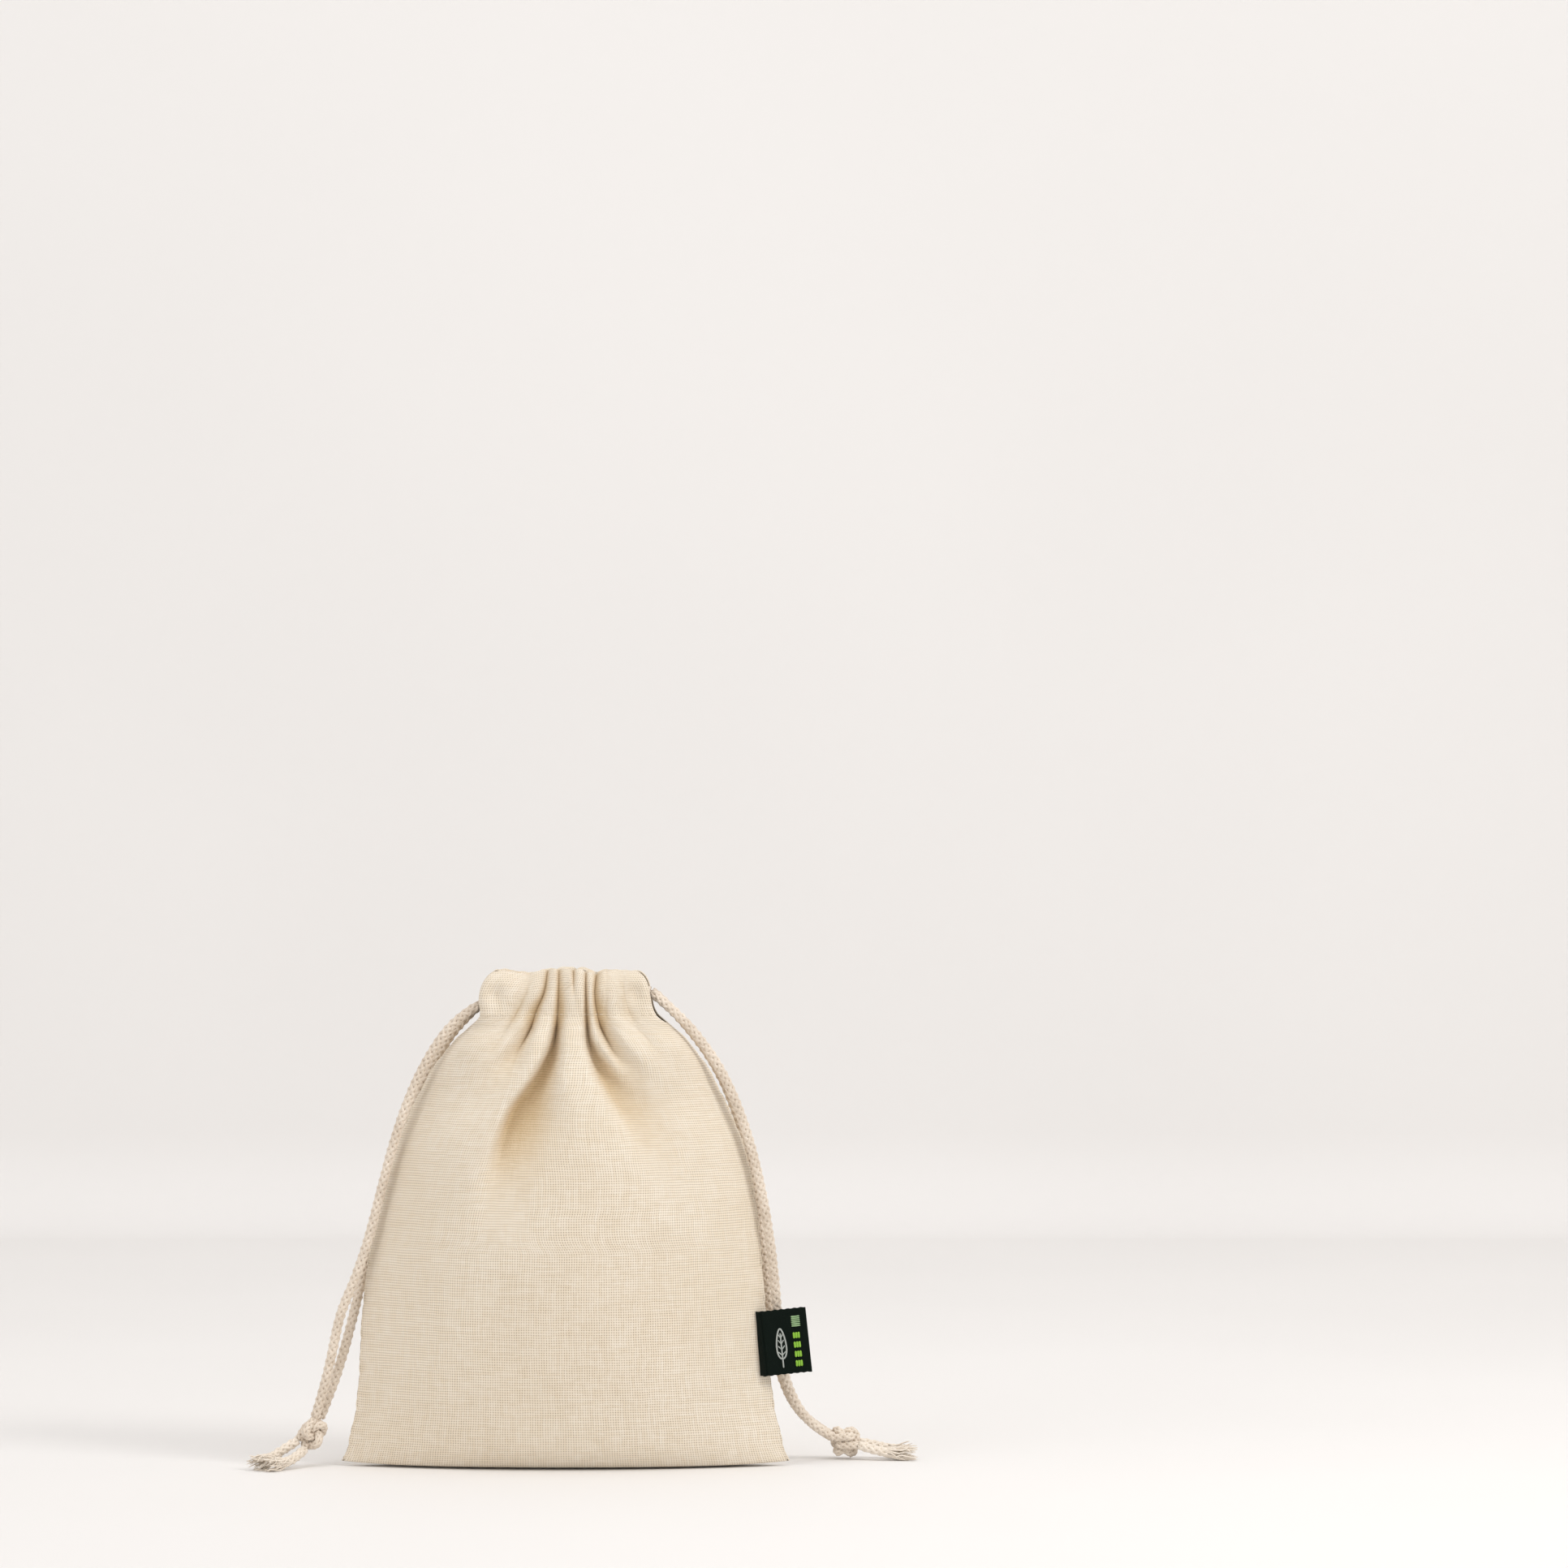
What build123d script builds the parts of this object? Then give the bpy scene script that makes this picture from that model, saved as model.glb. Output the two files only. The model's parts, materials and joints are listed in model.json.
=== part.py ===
"""Small drawstring produce bag of open plain-weave cotton, standing on its bottom seam.

Two cloth panels are sewn at the sides and the bottom. The top edge of each is turned over into a
casing, a tunnel that holds the drawcords. Each drawcord is one loop: it goes through the front
casing, turns back at the far slit, returns through the back casing, and its two strands come out
of the near slit and are tied in one overhand knot. All sizes are in millimetres. The front of the
bag faces -Y, +Z is up, and the origin is the middle of the bottom seam, on the ground.
"""
from build123d import *
import math
import os

# ---- cloth -----------------------------------------------------------------------------------
CLOTH = 0.6              # thickness of one layer, with its nap
SEAM_WIDTH = 6.0         # seam allowance inside the bag
SEAM_THICKNESS = 1.2     # two layers, overlocked
SEAM_BITE = 0.3          # how far a seam allowance reaches into the corner between the panels

# ---- standing shape: height, half width and half depth of the bag at each level -----------------
FOOT = (0.0, 74.0, 12.0)
SKIRT = (10.0, 72.0, 17.5)
BELLY = (58.0, 66.6, 27.0)
CHEST = (98.0, 60.0, 28.0)
SHOULDER = (126.0, 49.0, 22.5)
NECK = (147.0, 34.0, 15.0)
LEVELS = [FOOT, SKIRT, BELLY, CHEST, SHOULDER, NECK]

# ---- drawcords -----------------------------------------------------------------------------------
CORD = 3.5               # diameter
CORD_CLEARANCE = 0.4     # between a cord and the wall of its casing
CORD_GAP = 0.8           # between the two cords in one casing
JOINT_GAP = 0.35         # between two pieces that move apart

# ---- casings ---------------------------------------------------------------------------------------
CASING_BASE = 150.0      # height of the stitch line
CASING_HEIGHT = 16.8
CASING_HALF_LENGTH = 29.0
CASING_INNER_HALF = 19.0 # the inner wall stops here, and leaves the slit for the cords
CASING_ROUND = 2.2       # rounding of the fold along the top
CASING_BOW = 0.5         # how far the neck cloth bows out between the ends of the casing
CORD_OFFSET = 6.4        # distance of the cords from the middle of the mouth
LEFT_CORD_RISE = 3.6     # height of the left cord above the stitch line

# ---- stitches ------------------------------------------------------------------------------------------
THREAD = 0.4
STITCH_LENGTH = 2.6
STITCH_PITCH = 3.6
STITCH_RISE = 0.9        # height of the stitch row above the bottom of the casing
BARTACK = (1.6, 3.4, 3.0)

# ---- label ----------------------------------------------------------------------------------------------
LABEL_TAPE = 0.35        # thickness of the woven tape
LABEL_FOLD_GAP = 0.2     # between the two leaves
LABEL_HINGE_Z = 40.95    # middle of the line that the label folds about
LABEL_HINGE_INSET = 2.77 # from the bag's outline at that height to the line
LABEL_HINGE_LIFT = 2.2   # from the cloth to the line
LABEL_LEAN = 6.1         # degrees, as the side of the bag slopes there
LABEL_HEIGHT = 21.5
LABEL_REACH = 15.0       # from the seam to the fold
LABEL_ROOT = 4.4         # caught in the seam
LABEL_GAP = 0.75         # bare tape between the stitches and the flap, where it bends

# ---- worked out from the values above ------------------------------------------------------------------
CHANNEL_HALF = CORD / 2 + CORD_CLEARANCE
CASING_OUTER_Y = CORD_OFFSET + CHANNEL_HALF + CLOTH
CASING_INNER_Y = CORD_OFFSET - CHANNEL_HALF - CLOTH
LEFT_CORD_Z = CASING_BASE + LEFT_CORD_RISE
RIGHT_CORD_Z = LEFT_CORD_Z + CORD + CORD_GAP
EXIT_X = CASING_HALF_LENGTH - 0.5
BIGHT_X = CASING_INNER_HALF + 1.0
LABEL_THICKNESS = 2 * LABEL_TAPE + LABEL_FOLD_GAP

# ---- free strands, from the slit to the knot -------------------------------------------------------------
# The points are chosen one by one, as each strand hangs along the side of the bag.
LEFT_STRAND_FRONT = [
    (-EXIT_X, -CORD_OFFSET, LEFT_CORD_Z), (-35.8, -6.4, 149.2), (-43.4, -6.4, 139.6),
    (-50.6, -6.2, 126.0), (-56.4, -5.8, 109.6), (-60.8, -5.4, 93.0), (-65.0, -4.8, 76.4),
    (-69.8, -4.0, 62.2), (-74.8, -3.4, 51.2), (-77.2, -3.0, 39.2), (-79.8, -2.8, 27.4),
    (-83.2, -2.7, 16.2),
]
LEFT_STRAND_BACK = [
    (-EXIT_X, CORD_OFFSET, LEFT_CORD_Z), (-34.6, 6.8, 148.4), (-42.2, 6.9, 138.2),
    (-49.2, 6.7, 124.2), (-55.2, 6.2, 107.8), (-59.6, 5.7, 91.2), (-64.0, 4.9, 75.4),
    (-68.2, 4.0, 61.6), (-70.8, 3.4, 50.2), (-73.8, 2.8, 38.4), (-77.4, 2.1, 26.8),
    (-81.9, 1.6, 15.6),
]
RIGHT_STRAND_FRONT = [
    (EXIT_X, -CORD_OFFSET, RIGHT_CORD_Z), (35.4, -6.0, 152.4), (43.8, -5.4, 143.6),
    (51.6, -4.8, 132.4), (57.8, -4.2, 118.8), (62.6, -3.4, 103.4), (66.1, -2.2, 87.0),
    (68.6, -0.8, 70.6), (70.1, 0.8, 55.4), (70.9, 2.6, 41.4), (72.6, 5.6, 29.2),
    (76.8, 9.8, 18.6), (83.0, 14.0, 11.2), (89.4, 17.2, 7.4),
]
RIGHT_STRAND_BACK = [
    (EXIT_X, CORD_OFFSET, RIGHT_CORD_Z), (35.0, 6.2, 152.0), (43.2, 5.8, 142.8),
    (50.8, 5.6, 131.6), (56.6, 5.6, 118.2), (60.9, 5.8, 102.8), (63.8, 6.2, 86.8),
    (65.8, 6.6, 71.0), (67.2, 7.2, 56.2), (68.7, 8.2, 42.2), (71.2, 10.8, 30.0),
    (75.2, 14.8, 19.8), (81.6, 19.0, 12.0), (89.6, 21.7, 7.2),
]

# ---- knots and tails, where they lie ----------------------------------------------------------------------
LEFT_KNOT = ((-84.2, -0.6, 10.9), (6.3, 5.6, 6.6))
RIGHT_KNOT = ((93.0, 19.4, 5.2), (6.1, 5.6, 4.9))
LEFT_TAIL_FRONT = [(-88.8, -2.6, 8.8), (-93.2, -4.4, 6.2), (-97.2, -7.4, 3.6), (-100.0, -11.6, 2.4)]
LEFT_TAIL_BACK = [(-86.4, -3.2, 6.0), (-89.2, -7.2, 3.6), (-92.0, -11.8, 2.4), (-96.0, -15.6, 2.2)]
RIGHT_TAIL_FRONT = [(97.6, 17.2, 5.0), (102.6, 15.6, 3.6), (107.8, 15.0, 2.6), (112.6, 15.6, 2.3)]
RIGHT_TAIL_BACK = [(97.8, 21.2, 5.6), (102.8, 21.6, 4.6), (107.8, 21.2, 3.4), (112.2, 20.0, 2.4)]

RADIUS_SHARE = 0.45      # share of the shorter run that a bend of a cord uses


def half_ring(level, ends_y=0.0, upright_ends=False):
    """Front half of one level: the cloth between its outer arc and its inner arc."""
    z, half_width, half_depth = level
    inner_depth = half_depth - CLOTH
    if upright_ends:
        inner_half, inner_ends = half_width, ends_y - CLOTH
    else:
        radius = (half_width ** 2 + half_depth ** 2) / (2 * half_depth)
        centre = radius - half_depth
        inner_half, inner_ends = math.sqrt((radius - CLOTH) ** 2 - centre ** 2), ends_y
    outer = ThreePointArc((-half_width, -ends_y, z), (0, -half_depth, z), (half_width, -ends_y, z))
    right = Line(outer @ 1, (inner_half, -inner_ends, z))
    inner = ThreePointArc(right @ 1, (0, -inner_depth, z), (-inner_half, -inner_ends, z))
    left = Line(inner @ 1, outer @ 0)
    return Face(Wire([outer, right, inner, left]))


def neck_level():
    """Top edge of a panel, where it meets the outer wall of its casing."""
    return (CASING_BASE, CASING_HALF_LENGTH, CASING_OUTER_Y)


def panel():
    """Front panel: wall, neck and the strip that lies on the ground."""
    wall = loft([half_ring(level) for level in LEVELS])
    top = half_ring(neck_level(), CASING_OUTER_Y - CASING_BOW, upright_ends=True)
    neck = loft([half_ring(NECK), top], ruled=True)
    z, half_width, half_depth = FOOT
    edge = ThreePointArc((-half_width, 0, z), (0, -half_depth, z), (half_width, 0, z))
    floor = extrude(Face(Wire([edge, Line(edge @ 1, edge @ 0)])), CLOTH)
    floor -= Box(2 * half_width, SEAM_THICKNESS, 4 * CLOTH)
    return wall + neck + floor


def casing():
    """Front casing: a tunnel, open at both ends, with its inner wall stopping at the slits."""
    depth = CASING_OUTER_Y - CASING_INNER_Y
    middle = Pos(0, -CORD_OFFSET, CASING_BASE + CASING_HEIGHT / 2)
    tube = middle * Box(2 * CASING_HALF_LENGTH, depth, CASING_HEIGHT)
    top_edges = tube.edges().filter_by(Axis.X).group_by(Axis.Z)[-1]
    tube = fillet(top_edges, CASING_ROUND)
    hollow = middle * Box(3 * CASING_HALF_LENGTH, 2 * CHANNEL_HALF, CASING_HEIGHT - 2 * CLOTH)
    hollow = fillet(hollow.edges().filter_by(Axis.X).group_by(Axis.Z)[-1], CASING_ROUND - CLOTH)
    slit_height = CASING_HEIGHT - CLOTH - CASING_ROUND
    slit = Box(CASING_HALF_LENGTH, 2 * CLOTH, slit_height)
    for side in (-1, 1):
        x = side * (CASING_INNER_HALF + CASING_HALF_LENGTH / 2)
        hollow += Pos(x, -CASING_INNER_Y, CASING_BASE + CLOTH + slit_height / 2) * slit
    return tube - hollow


def casing_stitch():
    """Row of stitches along the bottom of the front casing."""
    count = int((2 * CASING_HALF_LENGTH - STITCH_PITCH) / STITCH_PITCH)
    stitches = []
    for i in range(count):
        x = (i - (count - 1) / 2) * STITCH_PITCH
        place = Pos(x, -CASING_OUTER_Y - THREAD / 2, CASING_BASE + STITCH_RISE)
        stitches.append(place * Box(STITCH_LENGTH, THREAD, THREAD))
    return stitches


def inner_corner(level):
    """Where the inner faces of the two panels meet at one level: x and z."""
    z, half_width, half_depth = level
    radius = (half_width ** 2 + half_depth ** 2) / (2 * half_depth)
    return math.sqrt((radius - CLOTH) ** 2 - (radius - half_depth) ** 2), z


def side_seam():
    """Right seam allowance, inside the corner between the panels."""
    corners = [inner_corner(level) for level in LEVELS[1:]]
    outside = [(x + SEAM_BITE, z) for x, z in corners]
    inside = [(x + SEAM_BITE - SEAM_WIDTH, z) for x, z in reversed(corners)]
    outline = Plane.XZ * Polyline(outside + inside, close=True)
    return extrude(make_face(outline), SEAM_THICKNESS / 2, both=True)


def bottom_seam():
    """Seam allowance along the bottom, standing up inside the bag between the panels."""
    half = inner_corner(FOOT)[0] - SEAM_WIDTH
    return Pos(0, 0, SEAM_WIDTH / 2) * Box(2 * half, SEAM_THICKNESS, SEAM_WIDTH)


def bartack():
    """Dense stitch across the right seam, just under the slit."""
    x, z = NECK[1], NECK[0]
    lean = math.degrees(math.atan2(SHOULDER[1] - NECK[1], NECK[0] - SHOULDER[0]))
    return Pos(x, 0, z) * Rot(0, -lean, 0) * Pos(0, 0, -BARTACK[2] / 2) * Box(*BARTACK)


def corner_radii(points, name):
    """Radius of each bend of a route: as large as its two runs allow."""
    points = [Vector(*p) for p in points]
    radii = []
    for before, corner, after in zip(points, points[1:], points[2:]):
        half_turn = (corner - before).get_angle(after - corner) / 2
        shorter = min((corner - before).length, (after - corner).length)
        radii.append(RADIUS_SHARE * shorter / math.tan(math.radians(half_turn)))
    print(name, "radii", " ".join(f"{r:.0f}" for r in radii))
    return radii


def cord_tube(points, name):
    """Tube of the cord's diameter along straight runs joined by tangent arcs."""
    path = FilletPolyline(*points, radius=corner_radii(points, name))
    section = Plane(origin=path @ 0, z_dir=path % 0) * Circle(CORD / 2)
    tube = sweep(section, path=path)
    expected = math.pi * CORD ** 2 / 4 * path.length
    print(name, f"length {path.length:.1f}, volume {tube.volume:.1f}, expected {expected:.1f}")
    return tube


def strand(points, name):
    """Free strand, with a round end on the axis that it swings about."""
    return cord_tube(points, name) + Pos(*points[0]) * Sphere(CORD / 2)


def cord_run(side, y, z):
    """Straight stretch of a cord inside a casing, from near its own slit to the far bight."""
    near = EXIT_X - CORD / 2 - JOINT_GAP
    far = BIGHT_X - JOINT_GAP
    middle = side * (near - far) / 2
    return Pos(middle, y, z) * Rot(0, 90, 0) * Cylinder(CORD / 2, near + far)


def bight(side, z):
    """Half turn of a cord at the slit on the given side, from the front casing to the back one."""
    start = Plane(origin=(side * BIGHT_X, -CORD_OFFSET, z), z_dir=(side, 0, 0))
    section = start * Circle(CORD / 2)
    axis = Axis((side * BIGHT_X, 0, z), (0, 0, side))
    return revolve(section, axis, 180)


def knot(centre, half_sizes):
    """Overhand knot, as a plain egg of its size."""
    return Pos(*centre) * scale(Sphere(1), by=half_sizes)


def label_place():
    """Frame of the label: its origin on the fold line, its X along the tape."""
    up = (LABEL_HINGE_Z - SKIRT[0]) / (BELLY[0] - SKIRT[0])
    half_width, half_depth = (low + up * (high - low) for low, high in zip(SKIRT[1:], BELLY[1:]))
    radius = (half_width ** 2 + half_depth ** 2) / (2 * half_depth)
    x = half_width - LABEL_HINGE_INSET
    y = radius - half_depth - math.sqrt(radius ** 2 - x ** 2) - LABEL_HINGE_LIFT
    return Pos(round(x, 2), round(y, 2), LABEL_HINGE_Z) * Rot(0, -LABEL_LEAN, 0)


def label():
    """Folded woven tape: two leaves and the fold between them, at its outer edge."""
    length = LABEL_REACH - LABEL_GAP
    body = Box(length, LABEL_THICKNESS, LABEL_HEIGHT)
    outer_edges = body.edges().filter_by(Axis.Z).group_by(Axis.X)[-1]
    body = fillet(outer_edges, LABEL_THICKNESS * 0.49)
    body -= Pos(-LABEL_TAPE, 0, 0) * Box(length, LABEL_FOLD_GAP, 2 * LABEL_HEIGHT)
    return label_place() * Pos(LABEL_GAP + length / 2, 0, 0) * body


def label_root():
    """End of the tape, caught in the seam."""
    body = Box(LABEL_ROOT, LABEL_THICKNESS, LABEL_HEIGHT)
    return label_place() * Pos(-LABEL_ROOT / 2, 0, 0) * body


def mirrored(shape, plane):
    """Mirror image of a solid, or of each solid in a list."""
    if isinstance(shape, list):
        return [mirror(s, about=plane) for s in shape]
    return mirror(shape, about=plane)


def write(name, shape):
    """Write one piece, or a group of separate solids, to its own file."""
    if isinstance(shape, list):
        shape = Compound(children=shape)
    export_step(shape, f"parts/{name}.step")


def main():
    os.makedirs("parts", exist_ok=True)
    front = {"panel": panel(), "casing": casing(), "casing_stitch": casing_stitch()}
    for name, shape in front.items():
        write(f"front_{name}", shape)
        write(f"back_{name}", mirrored(shape, Plane.XZ))
    right = {"side_seam": side_seam(), "slit_bartack": bartack()}
    for name, shape in right.items():
        write(f"right_{name}", shape)
        write(f"left_{name}", mirrored(shape, Plane.YZ))
    write("bottom_seam", bottom_seam())
    write("label", label())
    write("label_root", label_root())

    cords = {
        "left": (-1, LEFT_CORD_Z, LEFT_STRAND_FRONT, LEFT_STRAND_BACK, LEFT_KNOT,
                 LEFT_TAIL_FRONT, LEFT_TAIL_BACK),
        "right": (1, RIGHT_CORD_Z, RIGHT_STRAND_FRONT, RIGHT_STRAND_BACK, RIGHT_KNOT,
                  RIGHT_TAIL_FRONT, RIGHT_TAIL_BACK),
    }
    for name, (side, z, front_route, back_route, knot_size, front_tail, back_tail) in cords.items():
        write(f"{name}_cord_front_run", cord_run(side, -CORD_OFFSET, z))
        write(f"{name}_cord_back_run", cord_run(side, CORD_OFFSET, z))
        write(f"{name}_cord_bight", bight(-side, z))
        write(f"{name}_strand_front", strand(front_route, f"{name}_strand_front"))
        write(f"{name}_strand_back", strand(back_route, f"{name}_strand_back"))
        write(f"{name}_knot", knot(*knot_size))
        write(f"{name}_tail_front", cord_tube(front_tail, f"{name}_tail_front"))
        write(f"{name}_tail_back", cord_tube(back_tail, f"{name}_tail_back"))


main()
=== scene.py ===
"""Looks of a small drawstring produce bag of open plain-weave cotton.

The bag stands on its bottom seam. Its panels are gathered into two casings at the mouth, and a
drawcord hangs in two strands from each end of the casings to its own knot and frayed ends.
Lengths are written in millimetres and multiplied by MM, because the scene is in metres.
"""
import json
import math
import random

import bmesh
import bpy
import numpy as np
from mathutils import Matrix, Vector

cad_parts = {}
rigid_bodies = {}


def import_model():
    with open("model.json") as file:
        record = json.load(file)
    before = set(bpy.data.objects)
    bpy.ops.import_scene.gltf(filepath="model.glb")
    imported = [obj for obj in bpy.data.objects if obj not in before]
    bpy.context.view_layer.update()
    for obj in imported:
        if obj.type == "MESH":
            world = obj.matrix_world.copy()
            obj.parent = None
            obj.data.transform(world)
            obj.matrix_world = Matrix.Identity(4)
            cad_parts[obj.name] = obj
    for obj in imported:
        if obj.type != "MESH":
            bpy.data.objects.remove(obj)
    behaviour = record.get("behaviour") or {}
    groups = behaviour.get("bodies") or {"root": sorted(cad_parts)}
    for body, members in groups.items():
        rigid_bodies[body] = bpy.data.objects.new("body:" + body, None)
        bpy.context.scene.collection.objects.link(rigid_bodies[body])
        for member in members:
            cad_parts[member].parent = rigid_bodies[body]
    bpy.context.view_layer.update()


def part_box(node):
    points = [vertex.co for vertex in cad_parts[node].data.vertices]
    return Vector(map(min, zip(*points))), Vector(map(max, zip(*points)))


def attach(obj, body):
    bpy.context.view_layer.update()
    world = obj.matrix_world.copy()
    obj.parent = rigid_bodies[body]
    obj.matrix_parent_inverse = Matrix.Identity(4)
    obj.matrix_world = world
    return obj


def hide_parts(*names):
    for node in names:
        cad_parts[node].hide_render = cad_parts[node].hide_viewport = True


MM = 0.001

for leftover in list(bpy.data.objects):
    bpy.data.objects.remove(leftover)

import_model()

# ---- cloth ------------------------------------------------------------------------------------
PANEL_WIDTH = 150.0      # flat, between the seams
CLOTH = 0.45             # thickness of one layer
COLUMNS = 240
FLOOR_ROWS = 6
WALL_ROWS = 118
CASING_ROWS = 40
STITCH_Z = 150.0         # height of the stitch line under the casing
SLIT_Z = 146.5           # the side seams end here
TOP_Z = 165.0
FOOT_GAP = 0.6           # between the ground and the cloth that curves under
CORNER_LIFT = 1.1        # the foot's corners are this much higher
FOOT_HALF = 74.2
FOOT_DEPTH = 13.0

# Standing shape: height, half width, half depth.
LEVELS = [
    (0.0, FOOT_HALF, FOOT_DEPTH), (4.0, 73.0, 16.5), (10.0, 71.6, 19.0), (18.0, 69.8, 21.0),
    (31.0, 68.3, 23.5), (46.0, 67.5, 25.5), (60.0, 66.3, 27.0), (75.0, 64.7, 28.0), (91.0, 61.8, 28.3),
    (107.5, 57.4, 27.3), (122.0, 51.2, 24.2), (134.0, 44.6, 20.2), (142.0, 38.2, 16.8),
    (147.0, 32.6, 13.9), (150.0, 29.3, 12.6), (153.0, 28.9, 12.3),
]
# The upper part leans a little to the right: height, how far.
SWAY = [(0, 0), (75, 0), (90, 0.8), (105, 1.4), (125, 1.5), (140, 1.7), (147, 1.8), (150, 1.2), (153, 0.4),
        (166, 0.4)]
# The casing in section, over the outer wall, the fold and the inner wall: depth, height, half width.
CASING = [
    (12.6, 150.0, 29.3), (12.5, 152.0, 28.8), (12.7, 155.0, 28.6), (12.5, 158.0, 28.2),
    (11.6, 161.0, 27.3), (10.0, 163.4, 25.8), (8.0, 164.9, 23.8), (6.2, 164.3, 23.4),
    (4.8, 162.0, 24.6), (3.9, 158.0, 26.2), (3.8, 154.0, 27.0), (4.6, 150.4, 27.4),
]

# Folds: at each height, where the valley runs, its depth, and its widths to the left and right.
FRONT_FOLDS = {
    "left_shallow": [(165, -11.5, 0.5, 3.0, 2.4), (158, -12.8, 1.0, 3.0, 2.4),
                     (150, -16.4, 1.6, 3.0, 2.6), (142, -21.5, 1.5, 3.6, 3.2), (132, -28, 0.6, 6, 5),
                     (124, -33, 0, 7, 6)],
    "left_deep": [(165, -5.7, 2.2, 0.9, 0.9), (158, -6.7, 3.4, 1.6, 1.2), (152, -9.2, 4.6, 2.6, 1.3),
                  (145, -11.6, 5.8, 3.2, 1.6), (139, -15.0, 5.0, 4.0, 2.6), (131, -20, 2.8, 6, 5.0),
                  (120, -27, 1.0, 7, 8), (110, -32, 0, 8, 9)],
    "main": [(165, -2.0, 2.0, 0.8, 1.2), (158, -2.1, 3.4, 0.9, 2.2), (152, -2.3, 5.6, 1.0, 2.4),
             (147, -2.7, 8.6, 1.2, 2.0), (137, -4.6, 11.0, 1.7, 2.8), (128, -9.8, 11.4, 1.8, 5.4),
             (121, -15.0, 11.0, 1.9, 10), (114, -18.0, 9.4, 2.2, 13), (106, -19.8, 6.8, 3.0, 14.5),
             (96, -21, 3.6, 4.6, 16), (84, -21.4, 1.2, 7, 17), (74, -21.4, 0, 9, 17)],
    "top_notch": [(165, 2.8, 2.4, 0.8, 0.8), (161, 3.0, 1.6, 0.9, 0.9), (156, 3.2, 0.4, 1.0, 1.0),
                  (150, 3.2, 0, 1.2, 1.2)],
    "middle": [(165, 6.9, 2.0, 0.7, 0.8), (156, 7.1, 3.2, 0.8, 0.9), (148, 7.4, 5.4, 1.0, 1.2),
               (142, 8.0, 7.2, 1.3, 1.9), (136, 10.0, 8.4, 1.5, 3.4), (129, 13.2, 8.0, 1.9, 6.4),
               (121, 18.4, 6.0, 2.6, 9), (113, 24.0, 4.0, 4.0, 10), (105, 29, 2.3, 6, 11),
               (94, 33, 0.9, 8, 12), (84, 35, 0, 10, 12)],
    "right_deep": [(165, 10.4, 3.0, 0.9, 1.6), (158, 9.9, 3.6, 0.8, 2.0), (152, 10.5, 5.2, 0.9, 2.8),
                   (146, 12.0, 6.4, 1.2, 3.2), (140.5, 15.0, 5.4, 1.7, 3.8), (133, 20.4, 3.4, 2.8, 5.6),
                   (124, 28, 1.8, 5, 8), (112, 35, 0.4, 8, 9), (100, 40, 0, 9, 9)],
    "right_soft": [(165, 19, 0.3, 4, 4), (156, 20, 0.8, 4, 4), (148, 23, 1.1, 4, 3.6),
                   (138, 31, 0.8, 5, 4), (126, 38, 0, 6, 6)],
}
# How far the fold along the top rises above or drops below its level, at each x.
TOP_EDGE = [
    (-29, 0), (-20, 0.3), (-12.5, -1.0), (-6, 0.7), (-1, 1.2), (5, 1.0), (9.5, -0.5), (13, 0.2),
    (22, 0), (29, 0),
]
DIMPLES = [(-23.0, 157.0), (23.4, 157.2)]  # the cords draw the casing in beside their slits
DIMPLE_DEPTH = 2.2
BACK_FOLDS = {
    "left_shallow": [(165, -17, 1.0, 2, 2), (156, -18.2, 1.6, 2, 2), (148, -21, 2.0, 2.4, 2.6),
                     (138, -27, 1.2, 4, 4), (126, -34, 0, 6, 6)],
    "left_deep": [(165, -10, 2.8, 1, 1), (156, -10.6, 3.6, 1.1, 1.2), (148, -12, 6.2, 1.4, 1.6),
                  (139, -16.4, 6.0, 1.8, 3.0), (129, -22, 3.6, 3.0, 5.4), (116, -29, 1.5, 6, 9),
                  (100, -33, 0, 8, 10)],
    "main": [(165, -3.6, 2.2, 0.9, 0.9), (156, -3.8, 3.6, 1.0, 1.0), (148, -3.2, 7.4, 1.2, 1.3),
             (138, -1.4, 9.0, 1.8, 1.8), (128, 1.6, 8.2, 3.6, 2.4), (118, 5.0, 6.0, 7, 3.2),
             (106, 8.0, 3.6, 11, 4.6), (92, 9.6, 1.4, 14, 7), (78, 10, 0, 15, 9)],
    "middle": [(165, 3.4, 2.6, 0.9, 0.9), (156, 3.6, 3.4, 1.0, 1.0), (148, 5.0, 6.6, 1.2, 1.4),
               (139, 8.6, 6.8, 1.6, 2.8), (130, 14.4, 5.4, 2.4, 6), (120, 20, 3.2, 4, 10),
               (106, 26, 1.2, 7, 12), (92, 29, 0, 9, 13)],
    "right_deep": [(165, 10.2, 2.6, 1, 1), (156, 10.6, 3.4, 1.1, 1.2), (148, 13.4, 5.6, 1.5, 1.8),
                   (139, 19, 3.8, 2.4, 4), (128, 27, 1.7, 5, 7), (114, 34, 0, 7, 8)],
}
# Small pleats between the folds, over the casing only: where, how deep, half width.
PLEATS = [(13.8, 0.5, 2.0)]
SHARPNESS = 0.4          # how far the gathers are creases with round ridges, not even waves
GATHER_WIDTH = 1.5       # ridges beside a gathered valley round off over this many of its widths
FOLD_LIMIT = 12.0        # no valley of the wall is deeper than this
STITCH_FOLD_LIMIT = 4.0  # the same at the stitch line
CASING_FOLD_LIMIT = 3.8  # the same over the cords
FRILL_DEPTH = 3.5        # even gathers of the hem inside the mouth
FRILL_WIDTH = 3.4
EDGE_Y = 8.9             # the casing's end stands this far in front of the slit

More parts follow.
